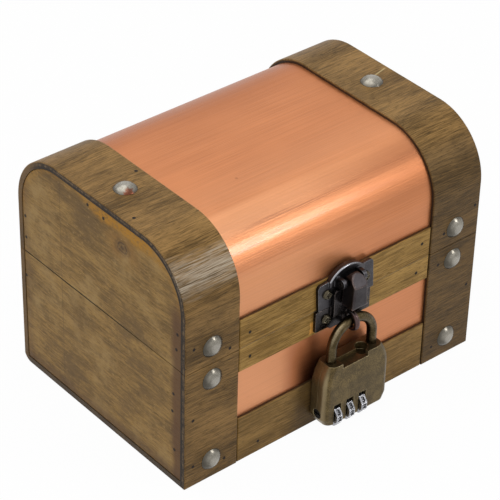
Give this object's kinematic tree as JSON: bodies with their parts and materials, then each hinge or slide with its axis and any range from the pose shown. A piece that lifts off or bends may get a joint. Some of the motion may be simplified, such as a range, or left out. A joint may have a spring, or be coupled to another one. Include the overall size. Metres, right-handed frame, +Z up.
{
  "type": "wooden treasure chest money box",
  "caption": "Small wooden treasure chest with a copper-skinned round-cornered lid on back hinges, closed by a hasp and a hanging combination padlock with number wheels.",
  "frame": {"origin": "middle of the chest's footprint, on the surface it stands on", "axes": "+Z up, -Y the front with the hasp, +X along the front from left to right"},
  "size_m": [0.15, 0.1201, 0.1083],
  "materials": {
    "end_board_wood": "stained board, matt",
    "band_plywood": "stained plywood, matt",
    "slat_wood": "stained slat, matt",
    "inner_wood": "bare board, matt",
    "copper_sheet": "brushed copper sheet",
    "nail_metal": "tarnished nickel",
    "screw_brass": "antique brass",
    "hasp_metal": "antiqued dark metal",
    "hinge_metal": "antiqued dark metal",
    "pin_steel": "plain steel",
    "padlock_brass": "speckled antique brass",
    "shackle_metal": "speckled antique brass",
    "wheel_chrome": "bright plated",
    "plug_dark": "black"
  },
  "bodies": {
    "base": {"base_back_copper": "copper_sheet", "base_back_left_band": "band_plywood", "base_back_lower_slat": "slat_wood", "base_back_right_band": "band_plywood", "base_back_upper_slat": "slat_wood", "base_back_wall": "inner_wood", "base_dome_nails": "nail_metal", "base_floor": "inner_wood", "base_front_copper": "copper_sheet", "base_front_left_band": "band_plywood", "base_front_lower_slat": "slat_wood", "base_front_right_band": "band_plywood", "base_front_upper_slat": "slat_wood", "base_front_wall": "inner_wood", "base_left_end": "end_board_wood", "base_right_end": "end_board_wood", "hasp_base_screws": "screw_brass", "hasp_keeper": "hasp_metal", "hinge_base_screws": "screw_brass", "hinge_left_base_leaf": "hinge_metal", "hinge_left_pin": "pin_steel", "hinge_right_base_leaf": "hinge_metal", "hinge_right_pin": "pin_steel"},
    "hasp_flap": {"hasp_flap": "hasp_metal"},
    "lid": {"hasp_lid_plate": "hasp_metal", "hasp_lid_screws": "screw_brass", "hasp_pin": "pin_steel", "hinge_left_lid_leaf": "hinge_metal", "hinge_lid_screws": "screw_brass", "hinge_right_lid_leaf": "hinge_metal", "lid_back_slat": "slat_wood", "lid_copper": "copper_sheet", "lid_dome_nails": "nail_metal", "lid_front_slat": "slat_wood", "lid_left_band": "band_plywood", "lid_left_end": "end_board_wood", "lid_right_band": "band_plywood", "lid_right_end": "end_board_wood", "lid_shell": "inner_wood"},
    "padlock_case": {"padlock_back_case": "padlock_brass", "padlock_front_case": "padlock_brass", "padlock_reset_plug": "plug_dark", "padlock_stop_pin": "pin_steel", "padlock_wheel_axle": "pin_steel"},
    "padlock_left_wheel": {"padlock_left_wheel": "wheel_chrome"},
    "padlock_middle_wheel": {"padlock_middle_wheel": "wheel_chrome"},
    "padlock_right_wheel": {"padlock_right_wheel": "wheel_chrome"},
    "padlock_shackle": {"padlock_shackle": "shackle_metal"}
  },
  "joints": [
    {"name": "lid_hinge", "type": "hinge", "parent": "base", "child": "lid", "pos_m": [0, 0.0543, 0.05575], "axis": [-1, 0, 0], "range_deg": [0, 110]},
    {"name": "hasp_flap_swing", "type": "hinge", "parent": "lid", "child": "hasp_flap", "pos_m": [0.003, -0.0568, 0.0674], "axis": [-1, 0, 0], "range_deg": [0, 40]},
    {"name": "padlock_swing", "type": "hinge", "parent": "base", "child": "padlock_shackle", "pos_m": [0.003, -0.0574, 0.04835], "axis": [-1, 0, 0], "range_deg": [0, 75]},
    {"name": "padlock_case_drop", "type": "slide", "parent": "padlock_shackle", "child": "padlock_case", "axis": [0, 0, -1], "range_m": [0, 0.0021]},
    {"name": "left_wheel_spin", "type": "hinge", "parent": "padlock_case", "child": "padlock_left_wheel", "pos_m": [-0.006, -0.0592, 0.0072], "axis": [1, 0, 0], "continuous": true},
    {"name": "middle_wheel_spin", "type": "hinge", "parent": "padlock_case", "child": "padlock_middle_wheel", "pos_m": [0.0005, -0.0592, 0.0072], "axis": [1, 0, 0], "continuous": true},
    {"name": "right_wheel_spin", "type": "hinge", "parent": "padlock_case", "child": "padlock_right_wheel", "pos_m": [0.007, -0.0592, 0.0072], "axis": [1, 0, 0], "continuous": true}
  ]
}
